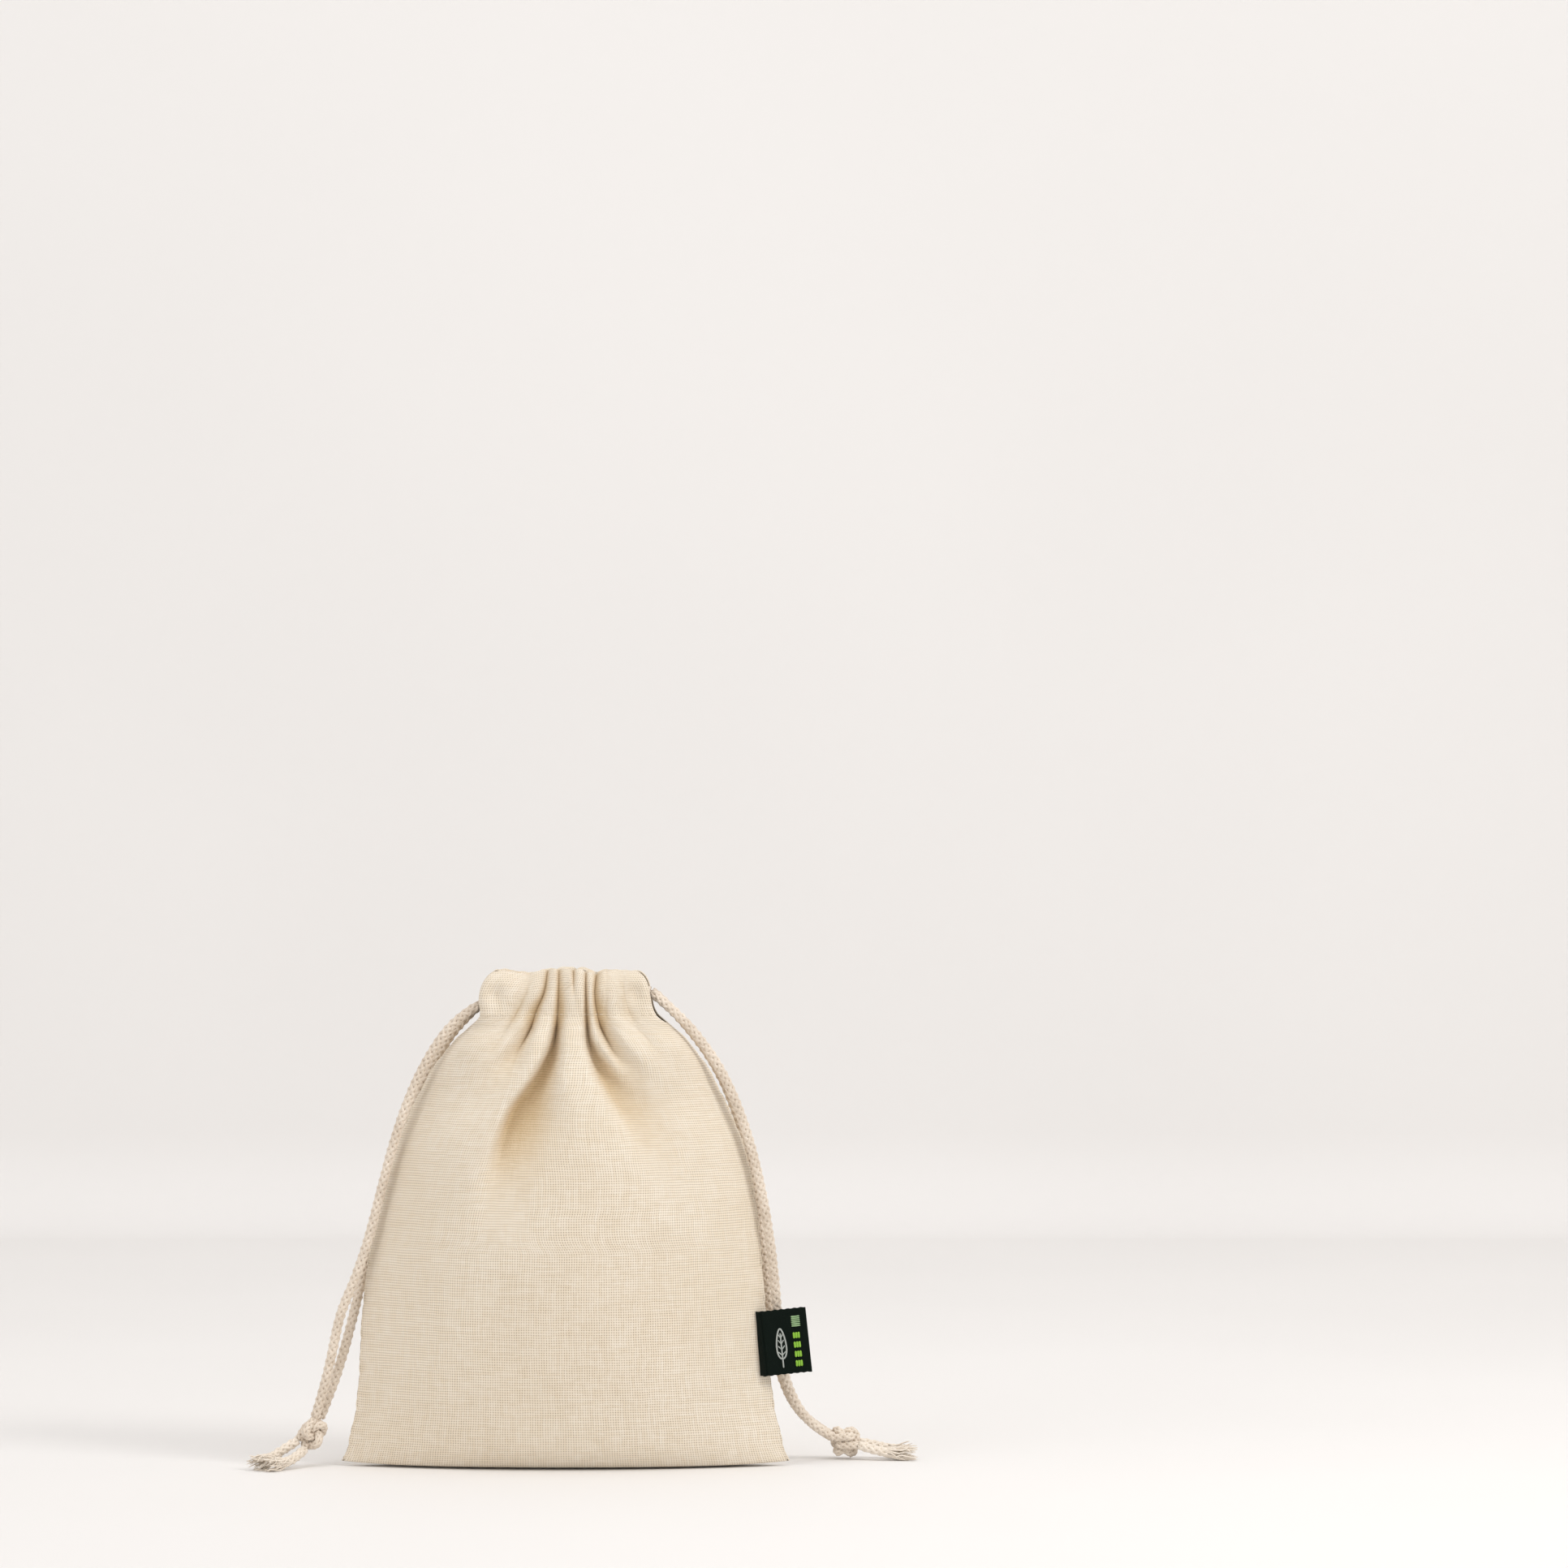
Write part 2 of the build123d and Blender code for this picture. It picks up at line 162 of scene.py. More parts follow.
# ---- cords ---------------------------------------------------------------------------------------
CORD = 3.5
CORD_OFFSET = 6.4
LEFT_CORD_Z = 153.6
RIGHT_CORD_Z = 157.9
EXIT_X = 28.5
LEFT_STRAND_FRONT = [
    (-EXIT_X, -CORD_OFFSET, LEFT_CORD_Z), (-35.8, -6.4, 149.2), (-43.4, -6.4, 139.6),
    (-50.6, -6.2, 126.0), (-56.4, -5.8, 109.6), (-60.8, -5.4, 93.0), (-65.0, -4.8, 76.4),
    (-69.8, -4.0, 62.2), (-74.8, -3.4, 51.2), (-77.2, -3.0, 39.2), (-79.8, -2.8, 27.4),
    (-83.2, -2.7, 16.2),
]
LEFT_STRAND_BACK = [
    (-EXIT_X, CORD_OFFSET, LEFT_CORD_Z), (-34.6, 6.8, 148.4), (-42.2, 6.9, 138.2),
    (-49.2, 6.7, 124.2), (-55.2, 6.2, 107.8), (-59.6, 5.7, 91.2), (-64.0, 4.9, 75.4),
    (-68.2, 4.0, 61.6), (-70.8, 3.4, 50.2), (-73.8, 2.8, 38.4), (-77.4, 2.1, 26.8),
    (-81.9, 1.6, 15.6),
]
RIGHT_STRAND_FRONT = [
    (EXIT_X, -CORD_OFFSET, RIGHT_CORD_Z), (35.4, -6.0, 152.4), (43.8, -5.4, 143.6),
    (51.6, -4.8, 132.4), (57.8, -4.2, 118.8), (62.6, -3.4, 103.4), (66.1, -2.2, 87.0),
    (68.6, -0.8, 70.6), (70.1, 0.8, 55.4), (70.9, 2.6, 41.4), (72.6, 5.6, 29.2),
    (76.8, 9.8, 18.6), (83.0, 14.0, 11.2), (89.4, 17.2, 7.4),
]
RIGHT_STRAND_BACK = [
    (EXIT_X, CORD_OFFSET, RIGHT_CORD_Z), (35.0, 6.2, 152.0), (43.2, 5.8, 142.8),
    (50.8, 5.6, 131.6), (56.6, 5.6, 118.2), (60.9, 5.8, 102.8), (63.8, 6.2, 86.8),
    (65.8, 6.6, 71.0), (67.2, 7.2, 56.2), (68.7, 8.2, 42.2), (71.2, 10.8, 30.0),
    (75.2, 14.8, 19.8), (81.6, 19.0, 12.0), (89.6, 21.7, 7.2),
]
LEFT_TAIL_FRONT = [(-88.8, -2.6, 8.8), (-93.2, -4.4, 6.2), (-97.2, -7.4, 3.6), (-100.0, -11.6, 2.4)]
LEFT_TAIL_BACK = [(-86.4, -3.2, 6.0), (-89.2, -7.2, 3.6), (-92.0, -11.8, 2.4), (-96.0, -15.6, 2.2)]
RIGHT_TAIL_FRONT = [(97.6, 17.2, 5.0), (102.6, 15.6, 3.6), (107.8, 15.0, 2.6), (112.6, 15.6, 2.3)]
RIGHT_TAIL_BACK = [(97.8, 21.2, 5.6), (102.8, 21.6, 4.6), (107.8, 21.2, 3.4), (112.2, 20.0, 2.4)]

RUN_STOPS = (28.4, 12.0, -4.0, -19.6)  # a cord inside its casing, from its own slit towards the far one
BIGHT_X = 20.0           # it turns back here
KNOT_SIZE = 1.42
KNOT_CORD = 3.0          # a pulled knot squeezes the cord to this

YARNS = 4                # each way round the braid
BRAID_PITCH = 10.5       # length of one full turn of a yarn
YARN = 0.62              # half thickness of a yarn
YARN_ORBIT = 0.98        # its mean distance from the middle of the cord
YARN_RISE = 0.2          # how far it passes over and under the others
YARN_SIDES = 6
YARN_STEP = 0.62         # length of cord between two rings of a yarn
PLIES = 46               # of a frayed end

# ---- seams -----------------------------------------------------------------------------------------
SEAM_ALLOWANCE = 6.0
SEAM_INSET = 0.9         # from the outline to the seam
LACE_PITCH = 2.6         # of the overlock thread
BARTACK_TURNS = 11


# ==================== small tools ====================

def through(table, at):
    """Smooth values through the rows of a table, whose first column is the height, at any height."""
    rows = np.array(sorted(table), float)
    x, y = rows[:, 0], rows[:, 1:]
    slope = np.gradient(y, x, axis=0) if len(x) > 2 else np.repeat((y[1:] - y[:1]) / (x[1] - x[0]), 2, 0)
    at = np.clip(at, x[0], x[-1])
    i = int(min(max(np.searchsorted(x, at) - 1, 0), len(x) - 2))
    gap = x[i + 1] - x[i]
    t = (at - x[i]) / gap
    h00, h10 = (1 + 2 * t) * (1 - t) ** 2, t * (1 - t) ** 2
    h01, h11 = t * t * (3 - 2 * t), t * t * (t - 1)
    return h00 * y[i] + h10 * gap * slope[i] + h01 * y[i + 1] + h11 * gap * slope[i + 1]


def smoothstep(low, high, x):
    """Rises from 0 at low to 1 at high; low may be the larger."""
    t = np.clip((x - low) / (high - low), 0, 1)
    return t * t * (3 - 2 * t)


def grids(name, sheets):
    """Mesh of one or more grids. Each sheet is (points, uv): rows by columns by 3, and by 2."""
    bm = bmesh.new()
    bm.loops.layers.uv.new("UVMap")
    for points, _ in sheets:
        rows, columns = points.shape[:2]
        bmesh.ops.create_grid(bm, x_segments=columns - 1, y_segments=rows - 1, size=1, calc_uvs=True)
    mesh = bpy.data.meshes.new(name)
    bm.to_mesh(mesh)
    bm.free()
    place = np.concatenate([p.reshape(-1, 3) for p, _ in sheets]).astype(np.float32)
    uv = np.concatenate([u.reshape(-1, 2) for _, u in sheets]).astype(np.float32)
    mesh.vertices.foreach_set("co", place.ravel())
    corner = np.zeros(len(mesh.loops), np.int32)
    mesh.loops.foreach_get("vertex_index", corner)
    mesh.uv_layers["UVMap"].data.foreach_set("uv", uv[corner].ravel())
    mesh.update()
    return mesh


def piece(name, mesh, material, body, replaces=()):
    """Object of a finished mesh, which rides on a body and stands for CAD nodes."""
    obj = bpy.data.objects.new(name, mesh)
    bpy.context.scene.collection.objects.link(obj)
    mesh.materials.clear()
    mesh.materials.append(material)
    mesh.shade_smooth()
    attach(obj, body)
    if replaces:
        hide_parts(*replaces)
    return obj


def closed_tube(mesh):
    """Merges a tube's own seam and turns its faces outwards."""
    bm = bmesh.new()
    bm.from_mesh(mesh)
    bmesh.ops.remove_doubles(bm, verts=bm.verts, dist=1e-7)
    bmesh.ops.recalc_face_normals(bm, faces=bm.faces)
    bm.to_mesh(mesh)
    bm.free()


def sweep_frames(line):
    """Tangents and two turning-free normals along a line of points."""
    tangent = np.gradient(line, axis=0)
    tangent /= np.linalg.norm(tangent, axis=1)[:, None]
    normal = np.zeros_like(line)
    seed = np.array([0, 1, 0]) if abs(tangent[0][1]) < 0.8 else np.array([1, 0, 0])
    for i, t in enumerate(tangent):
        n = seed - t * (seed @ t)
        normal[i] = n / np.linalg.norm(n)
        seed = normal[i]
    return tangent, normal, np.cross(tangent, normal)


def resampled(line, step):
    """The line with evenly spaced points, and the distance along it of each."""
    along = np.concatenate([[0], np.cumsum(np.linalg.norm(np.diff(line, axis=0), axis=1))])
    at = np.linspace(0, along[-1], max(3, int(along[-1] / step) + 1))
    return np.stack([np.interp(at, along, line[:, k]) for k in range(3)], axis=1), at


def tube(line, radius, sides=YARN_SIDES, taper=0.0, start=0.0):
    """One thin tube as (points, uv), its ends drawn in. The uv is in metres."""
    line = np.asarray(line, float)
    _, normal, binormal = sweep_frames(line)
    along = np.concatenate([[0], np.cumsum(np.linalg.norm(np.diff(line, axis=0), axis=1))])
    share = along / max(along[-1], 1e-9)
    r = radius * (1 - taper * share)
    r[0] *= 0.15
    r[-1] *= 0.15
    angle = np.linspace(0, 2 * math.pi, sides + 1)
    ring = np.cos(angle)[None, :, None] * normal[:, None] + np.sin(angle)[None, :, None] * binormal[:, None]
    points = line[:, None] + ring * r[:, None, None]
    uv = np.stack(np.broadcast_arrays(angle[None] * radius, start + along[:, None]), -1)
    return points, uv


# ==================== materials ====================

class Shader:
    """A node tree with short calls for adding nodes."""

    def __init__(self, tree):
        self.tree = tree

    def node(self, kind, inputs=(), **settings):
        made = self.tree.nodes.new(kind)
        for key, value in settings.items():
            setattr(made, key, value)
        for key, value in dict(inputs).items():
            self.put(made.inputs[key], value)
        return made

    def put(self, socket, value):
        if isinstance(value, bpy.types.NodeSocket):
            self.tree.links.new(value, socket)
        else:
            socket.default_value = value

    def math(self, operation, a, b=0.0, c=0.0):
        made = self.node("ShaderNodeMath", {0: a, 1: b, 2: c}, operation=operation)
        return made.outputs[0]

    def ramp(self, value, low, high, to_low=0.0, to_high=1.0, kind="SMOOTHSTEP"):
        made = self.node("ShaderNodeMapRange", {"Value": value, "From Min": low, "From Max": high,
                                                "To Min": to_low, "To Max": to_high},
                         interpolation_type=kind)
        return made.outputs["Result"]

    def mix(self, share, a, b, blend="MIX"):
        made = self.node("ShaderNodeMix", data_type="RGBA", blend_type=blend)
        self.put(made.inputs[0], share)
        self.put(made.inputs[6], a)
        self.put(made.inputs[7], b)
        return made.outputs[2]

    def noise(self, vector, scale, detail=2.0, roughness=0.5):
        made = self.node("ShaderNodeTexNoise", {"Vector": vector, "Scale": scale, "Detail": detail,
                                                "Roughness": roughness})
        return made.outputs["Fac"]

    def vector(self, x=0.0, y=0.0, z=0.0):
        return self.node("ShaderNodeCombineXYZ", {"X": x, "Y": y, "Z": z}).outputs[0]


def group(name, inputs, outputs):
    """Empty node group with named sockets; returns its Shader, its input node and its output node."""
    tree = bpy.data.node_groups.new(name, "ShaderNodeTree")
    for label, kind, value in inputs:
        socket = tree.interface.new_socket(label, in_out="INPUT", socket_type=kind)
        if value is not None:
            socket.default_value = value
    for label, kind in outputs:
        tree.interface.new_socket(label, in_out="OUTPUT", socket_type=kind)
    shader = Shader(tree)
    return shader, shader.node("NodeGroupInput"), shader.node("NodeGroupOutput")


def weave_group():
    """Plain weave of slubby cotton threads over a UV map in metres, with the holes between them."""
    s, i, o = group("plain_weave", [("UV", "NodeSocketVector", None), ("Pitch", "NodeSocketFloat", 0.0008),
                                    ("Thread", "NodeSocketFloat", 0.34)],
                    [("Height", "NodeSocketFloat"), ("Hole", "NodeSocketFloat"),
                     ("Slub", "NodeSocketFloat")])
    scaled = s.node("ShaderNodeVectorMath", {0: i.outputs["UV"]}, operation="SCALE")
    s.put(scaled.inputs["Scale"], s.math("DIVIDE", 1.0, i.outputs["Pitch"]))
    wander = s.node("ShaderNodeTexNoise", {"Vector": i.outputs["UV"], "Scale": 110.0, "Detail": 2.0})
    shift = s.node("ShaderNodeVectorMath", {0: wander.outputs["Color"], 1: (0.5, 0.5, 0.5)},
                   operation="SUBTRACT")
    shift = s.node("ShaderNodeVectorMath", {0: shift.outputs[0], "Scale": 0.6}, operation="SCALE")
    place = s.node("ShaderNodeVectorMath", {0: scaled.outputs[0], 1: shift.outputs[0]}, operation="ADD")
    split = s.node("ShaderNodeSeparateXYZ", {0: place.outputs[0]})
    x, y = split.outputs["X"], split.outputs["Y"]
    cell_x, cell_y = s.math("FLOOR", x), s.math("FLOOR", y)

    def thread(across, along, own, sign, seed):
        """Profile of one set of threads, its rise and fall, and how thick it is here."""
        place = s.vector(s.math("MULTIPLY", own, 7.31), s.math("MULTIPLY", along, 0.11), seed)
        slub = s.noise(place, 1.0, 3.0, 0.6)
        half = s.math("MULTIPLY", i.outputs["Thread"], s.ramp(slub, 0.3, 0.7, 0.88, 1.14, "LINEAR"))
        off = s.math("ABSOLUTE", s.math("SUBTRACT", s.math("FRACT", across), 0.5))
        share = s.math("DIVIDE", off, half)
        body = s.math("MAXIMUM", s.math("SUBTRACT", 1.0, s.math("MULTIPLY", share, share)), 0.0)
        turn = s.math("MULTIPLY", s.math("SUBTRACT", s.math("SUBTRACT", along, 0.5), own), math.pi)
        wave = s.math("MULTIPLY_ADD", s.math("COSINE", turn), 0.28 * sign, 0.72)
        return s.math("MULTIPLY", s.math("SQRT", body), wave), body, slub

    warp, warp_body, warp_slub = thread(x, y, cell_x, 1, 3.7)
    weft, weft_body, weft_slub = thread(y, x, cell_y, -1, 9.1)
    height = s.math("MAXIMUM", warp, weft)
    gap = s.math("SUBTRACT", 1.0, s.ramp(s.math("MAXIMUM", warp_body, weft_body), 0.0, 0.34))
    s.put(o.inputs["Height"], height)
    s.put(o.inputs["Hole"], gap)
    s.put(o.inputs["Slub"], s.math("MULTIPLY", s.math("ADD", warp_slub, weft_slub), 0.5))
    return s.tree


def fibre_group():
    """Fine cotton fibres that run along a yarn, over a UV map in metres, with lighter and darker streaks."""
    s, i, o = group("cotton_fibre", [("UV", "NodeSocketVector", None), ("Twist", "NodeSocketFloat", 0.6),
                                     ("Fineness", "NodeSocketFloat", 9000.0)],
                    [("Height", "NodeSocketFloat"), ("Streak", "NodeSocketFloat")])
    split = s.node("ShaderNodeSeparateXYZ", {0: i.outputs["UV"]})
    u = s.math("MULTIPLY_ADD", split.outputs["Y"], i.outputs["Twist"], split.outputs["X"])
    fine = s.vector(s.math("MULTIPLY", u, i.outputs["Fineness"]),
                    s.math("MULTIPLY", split.outputs["Y"], s.math("MULTIPLY", i.outputs["Fineness"], 0.09)))
    fibre = s.noise(fine, 1.0, 3.0, 0.65)
    coarse = s.vector(s.math("MULTIPLY", u, 1900.0), s.math("MULTIPLY", split.outputs["Y"], 260.0))
    streak = s.noise(coarse, 1.0)
    s.put(o.inputs["Height"], fibre)
    s.put(o.inputs["Streak"], streak)
    return s.tree


def material(name):
    """New material with a matt fabric shader; returns it, its Shader and its Principled node."""
    made = bpy.data.materials.new(name)
    made.use_nodes = True
    made.node_tree.nodes.clear()
    s = Shader(made.node_tree)
    out = s.node("ShaderNodeOutputMaterial")
    skin = s.node("ShaderNodeBsdfPrincipled", {"Roughness": 0.9, "Specular IOR Level": 0.2})
    made.node_tree.links.new(skin.outputs[0], out.inputs["Surface"])
    return made, s, skin


def placed(s, tree, inputs):
    """Node group in a material, with its own values."""
    made = s.node("ShaderNodeGroup")
    made.node_tree = tree
    for key, value in inputs.items():
        s.put(made.inputs[key], value)
    return made


def bumped(s, skin, height, strength, distance):
    """Fine relief on a material."""
    bump = s.node("ShaderNodeBump", {"Height": height, "Strength": strength, "Distance": distance})
    s.put(skin.inputs["Normal"], bump.outputs["Normal"])


def muslin(weave):
    """Undyed open plain-weave cotton, with painted warm shade where the "pocket" attribute says that a fold
    is deep.
    """
    made, s, skin = material("undyed_muslin")
    uv = s.node("ShaderNodeUVMap", uv_map="UVMap").outputs["UV"]
    cloth = placed(s, weave, {"UV": uv, "Pitch": 0.84 * MM, "Thread": 0.37})
    where = s.node("ShaderNodeTexCoord").outputs["Object"]
    cloud = s.noise(where, 26.0, 3.0)
    warm = s.ramp(cloud, 0.3, 0.7)
    base = s.mix(warm, (0.80, 0.722, 0.608, 1), (0.84, 0.77, 0.665, 1))
    thread = s.ramp(cloth.outputs["Slub"], 0.35, 0.68)
    base = s.mix(thread, s.mix(0.5, base, (0.74, 0.62, 0.455, 1)), base)
    # painted shade: the threads darken away from their crowns, where they dip under one another
    crown = s.ramp(cloth.outputs["Height"], 0.35, 0.95)
    base = s.mix(crown, s.mix(0.35, base, (0.60, 0.475, 0.33, 1)), base)
    # painted shade: the holes between the threads are painted dark brown, for the shade seen through the open
    # weave
    base = s.mix(s.math("MULTIPLY", cloth.outputs["Hole"], 0.9), base, (0.27, 0.215, 0.16, 1))
    # painted shade: deep folds multiply the base colour towards a warm brown, which stands in for the shade
    # and through-light in the fold valleys
    deep = s.node("ShaderNodeAttribute", attribute_name="pocket").outputs["Fac"]
    base = s.mix(s.ramp(deep, 0.06, 0.8), base, s.mix(1.0, base, (0.84, 0.72, 0.53, 1), "MULTIPLY"))
    s.put(skin.inputs["Base Color"], base)
    s.put(skin.inputs["Roughness"], s.ramp(cloth.outputs["Height"], 0.0, 1.0, 1.0, 0.86, "LINEAR"))
    skin.inputs["Sheen Weight"].default_value = 0.25
    skin.inputs["Sheen Roughness"].default_value = 0.5
    skin.inputs["Sheen Tint"].default_value = (1.0, 0.95, 0.86, 1)
    fuzz = s.noise(uv, 9000.0, 2.0, 0.6)
    height = s.math("MULTIPLY_ADD", fuzz, 0.16, cloth.outputs["Height"])
    bumped(s, skin, height, 0.55, 0.16 * MM)
    return made


def cord_cotton(name, fibre, light, dark):
    """Undyed cotton yarn, for cords, frayed ends and thread."""
    made, s, skin = material(name)
    uv = s.node("ShaderNodeUVMap", uv_map="UVMap").outputs["UV"]
    yarn = placed(s, fibre, {"UV": uv})
    where = s.node("ShaderNodeTexCoord").outputs["Object"]
    cloud = s.ramp(s.noise(where, 90.0, 3.0), 0.35, 0.65)
    streak = s.ramp(yarn.outputs["Streak"], 0.3, 0.7)
    base = s.mix(s.math("MULTIPLY", s.math("ADD", cloud, streak), 0.5), dark, light)
    # painted shade: the yarn darkens in the low grooves between its fibres
    base = s.mix(s.ramp(yarn.outputs["Height"], 0.3, 0.5, 0.35, 0.0), base, (0.50, 0.40, 0.29, 1))
    s.put(skin.inputs["Base Color"], base)
    skin.inputs["Sheen Weight"].default_value = 0.3
    skin.inputs["Sheen Roughness"].default_value = 0.5
    bumped(s, skin, yarn.outputs["Height"], 0.7, 0.1 * MM)
    return made


def label_tape():
    """Dark woven label: fine satin ribs over a near-black green."""
    made, s, skin = material("dark_label_tape")
    uv = s.node("ShaderNodeUVMap", uv_map="UVMap").outputs["UV"]
    split = s.node("ShaderNodeSeparateXYZ", {0: uv})
    rib = s.math("SINE", s.math("MULTIPLY", split.outputs["Y"], 2 * math.pi / (0.26 * MM)))
    twill = s.math("SINE", s.math("MULTIPLY", s.math("ADD", split.outputs["X"], split.outputs["Y"]),
                                  2 * math.pi / (0.42 * MM)))
    height = s.math("MULTIPLY_ADD", twill, 0.5, s.math("MULTIPLY", rib, 0.5))
    fleck = s.ramp(s.noise(uv, 5200.0, 2.0), 0.45, 0.75)
    # painted shade: the tape is darker in the grooves between its ribs and lighter on their crests
    base = s.mix(s.ramp(height, -0.6, 0.9), (0.001, 0.003, 0.002, 1), (0.004, 0.009, 0.006, 1))
    base = s.mix(s.math("MULTIPLY", fleck, 0.3), base, (0.016, 0.028, 0.022, 1))
    s.put(skin.inputs["Base Color"], base)
    skin.inputs["Roughness"].default_value = 0.8
    skin.inputs["Specular IOR Level"].default_value = 0.08
    skin.inputs["Sheen Weight"].default_value = 0.02
    bumped(s, skin, height, 0.5, 0.08 * MM)
    return made


def label_yarn(name, colour, shade):
    """Smooth coloured weft of the label's leaf, blocks and patch."""
    made, s, skin = material(name)
    where = s.node("ShaderNodeTexCoord").outputs["Object"]
    split = s.node("ShaderNodeSeparateXYZ", {0: where})
    rib = s.math("SINE", s.math("MULTIPLY", split.outputs["Z"], 2 * math.pi / (0.3 * MM)))
    # painted shade: the weft's colour turns to its darker shade colour in the grooves between the rows
    s.put(skin.inputs["Base Color"], s.mix(s.ramp(rib, -0.8, 0.6), shade, colour))
    skin.inputs["Roughness"].default_value = 0.6
    bumped(s, skin, rib, 0.5, 0.06 * MM)
    return made


def plain_floor():
    """Pale, even floor and backdrop."""
    made, s, skin = material("pale_floor")
    where = s.node("ShaderNodeTexCoord").outputs["Object"]
    cloud = s.noise(where, 3.0, 2.0)
    base = s.mix(s.ramp(cloud, 0.3, 0.7), (0.795, 0.778, 0.763, 1), (0.81, 0.793, 0.778, 1))
    s.put(skin.inputs["Base Color"], base)
    skin.inputs["Roughness"].default_value = 0.75
    return made


# ==================== cloth ====================

def fold_pull(folds, z, x, limit):
    """How deep the folds pull the cloth in at each x, and how much cloth hides there."""
    soft, sharp, core = np.zeros_like(x), np.zeros_like(x), np.zeros_like(x)
    gathered = smoothstep(133, 146, z)
    valleys = []
    for rows in folds.values():
        if z >= min(r[0] for r in rows):
            at, depth, left, right = through(rows, z)
            valleys.append((at, max(depth, 0.0), left, right))
    for at, depth, half in PLEATS if gathered > 0 else ():
        valleys.append((at * (1 + 0.35 * smoothstep(150, 138, z)), gathered * depth, half, half))
    for at, depth, left, right in valleys:
        share = np.abs(x - at) / np.where(x < at, left, right)
        soft = soft + depth * np.exp(-share ** 2.2 * 0.8)
        arc = 1 - np.sqrt(1 - (1 - np.minimum(share / GATHER_WIDTH, 1)) ** 2)
        deep = limit * (1 - np.exp(-3.2 * depth / limit))
        sharp = np.maximum(sharp, deep * arc)
        core = core + depth * np.exp(-(share * 1.6) ** 4)
    soft = limit * (1 - np.exp(-(soft / limit) - 0.6 * (soft / limit) ** 2))
    return (1 - SHARPNESS * gathered) * soft + SHARPNESS * gathered * sharp, core


def ripple(x, z, seed):
    """Slow, shallow unevenness of cloth that hangs."""
    a, b = seed * 1.7, seed * 2.9
    return (0.45 * np.sin(x / 15.5 + a + z / 60) * np.sin(z / 31.0 + b)
            + 0.28 * np.sin(x / 8.3 + b - z / 44) * np.sin(z / 19.0 + a)
            + 0.10 * np.sin(x / 3.9 + a) * np.sin(z / 8.5 + b))


def foot_lift(x):
    """How far the foot of the cloth is off the ground."""
    return FOOT_GAP + CORNER_LIFT * np.abs(x / FOOT_HALF) ** 6


def section(z, folds, seed):
    """One level of the wall: dense points of its line from left to right, its hidden cloth, and how deep
    each point is in a fold, as a share."""
    half, depth = through(LEVELS, z)
    t = np.linspace(-1, 1, 2401)
    radius = (half ** 2 + depth ** 2) / (2 * depth)
    angle = math.asin(half / radius) * t
    x = radius * np.sin(angle)
    y = radius - depth - radius * np.cos(angle)
    open_up = smoothstep(SLIT_Z - 2.5, STITCH_Z, z)
    edge_y = -EDGE_Y * open_up
    fuller = smoothstep(118, STITCH_Z - 1, z)
    full = -depth + (depth + edge_y) * np.abs(t) ** (2.2 + 2.8 * fuller)
    y = (1 - fuller) * y + fuller * full
    x = (1 - fuller) * x + fuller * half * np.sin(t * math.pi / 2) + through(SWAY, z)[0]
    limit = FOLD_LIMIT - (FOLD_LIMIT - STITCH_FOLD_LIMIT) * smoothstep(STITCH_Z - 7, STITCH_Z, z)
    pull, core = fold_pull(folds, z, x, limit)
    edge = 1 - np.abs(t) ** 10
    calm = smoothstep(0, 30, z)
    y = y + pull * edge + ripple(x, z, seed) * (1 - t ** 4) * (0.25 + 0.75 * calm)
    pucker = 0.22 * math.sin(z / 1.9 + seed) + 0.15 * math.sin(z / 0.93 + 2 * seed)
    x = x + pucker * np.sign(t) * np.abs(t) ** 30 * (1 - open_up)
    return x, y, np.full_like(x, z), core, pull / limit


def casing_row(share, folds, seed):
    """One row over the casing, from the stitch line over the fold to the inner hem, in a section's form."""
    position = share * (len(CASING) - 1)
    depth, z, half = through([(k, *row) for k, row in enumerate(CASING)], position)
    t = np.linspace(-1, 1, 2401)
    x = half * np.sin(t * math.pi / 2) + through(SWAY, z)[0]
    inner = smoothstep(5.4, 8.0, position)
    ends = (1 - inner) * min(depth, EDGE_Y) + inner * depth
    y = -depth + (depth - ends) * np.abs(t) ** 5
    pull, core = fold_pull(folds, min(z, TOP_Z) if position < 6 else TOP_Z - 1, x, CASING_FOLD_LIMIT)
    frill = FRILL_DEPTH * (0.5 + 0.5 * np.sin(x * 2 * math.pi / FRILL_WIDTH + 1.2 * np.sin(x / 5.7 + seed)))
    pull = (1 - inner) * pull + inner * frill
    crest = 1 - smoothstep(0.0, 5.0, abs(position - 6.2))
    droop = crest * (0.36 * pull + 0.2 * np.sin(x / 4.1 + seed) - np.interp(x, *zip(*TOP_EDGE)))
    bulge = 0.5 * np.sin(x / 5.3 + seed) * (1 - np.abs(t) ** 4)
    deep = np.minimum(pull / CASING_FOLD_LIMIT, 1)
    for at, level in DIMPLES:
        pull = pull + DIMPLE_DEPTH * (1 - inner) * np.exp(-((x - at) / 2.8) ** 2 - ((z - level) / 3.4) ** 2)
    return x, y + pull * (1 - np.abs(t) ** 10) - bulge * 0.5, z - droop, core, deep


def edge_x(side, z):
    """Where the wall's left or right edge stands at a height."""
    return side * through(LEVELS, z)[0] + through(SWAY, z)[0]


def floor_row(share, folds, seed):
    """One row of the strip that lies on the ground, from the bottom seam to the foot of the wall."""
    x, y, z, core, deep = section(0.0, folds, seed)
    return x, y * share, z + foot_lift(x), core, deep


def spread_columns(x, y, z, core, deep):
    """A row at even steps of its cloth, with the cloth that the folds hide: x, y, z and the fold's share."""
    step = np.sqrt(np.diff(x) ** 2 + np.diff(y) ** 2 + np.diff(z) ** 2)
    hidden = max(PANEL_WIDTH - step.sum(), 0.0)
    weight = (core[1:] + core[:-1]) / 2 + 1e-3
    along = np.concatenate([[0], np.cumsum(step + hidden * weight / weight.sum())])
    at = np.linspace(0, along[-1], COLUMNS + 1)
    return np.stack([np.interp(at, along, v) for v in (x, y, z, deep)], axis=1)


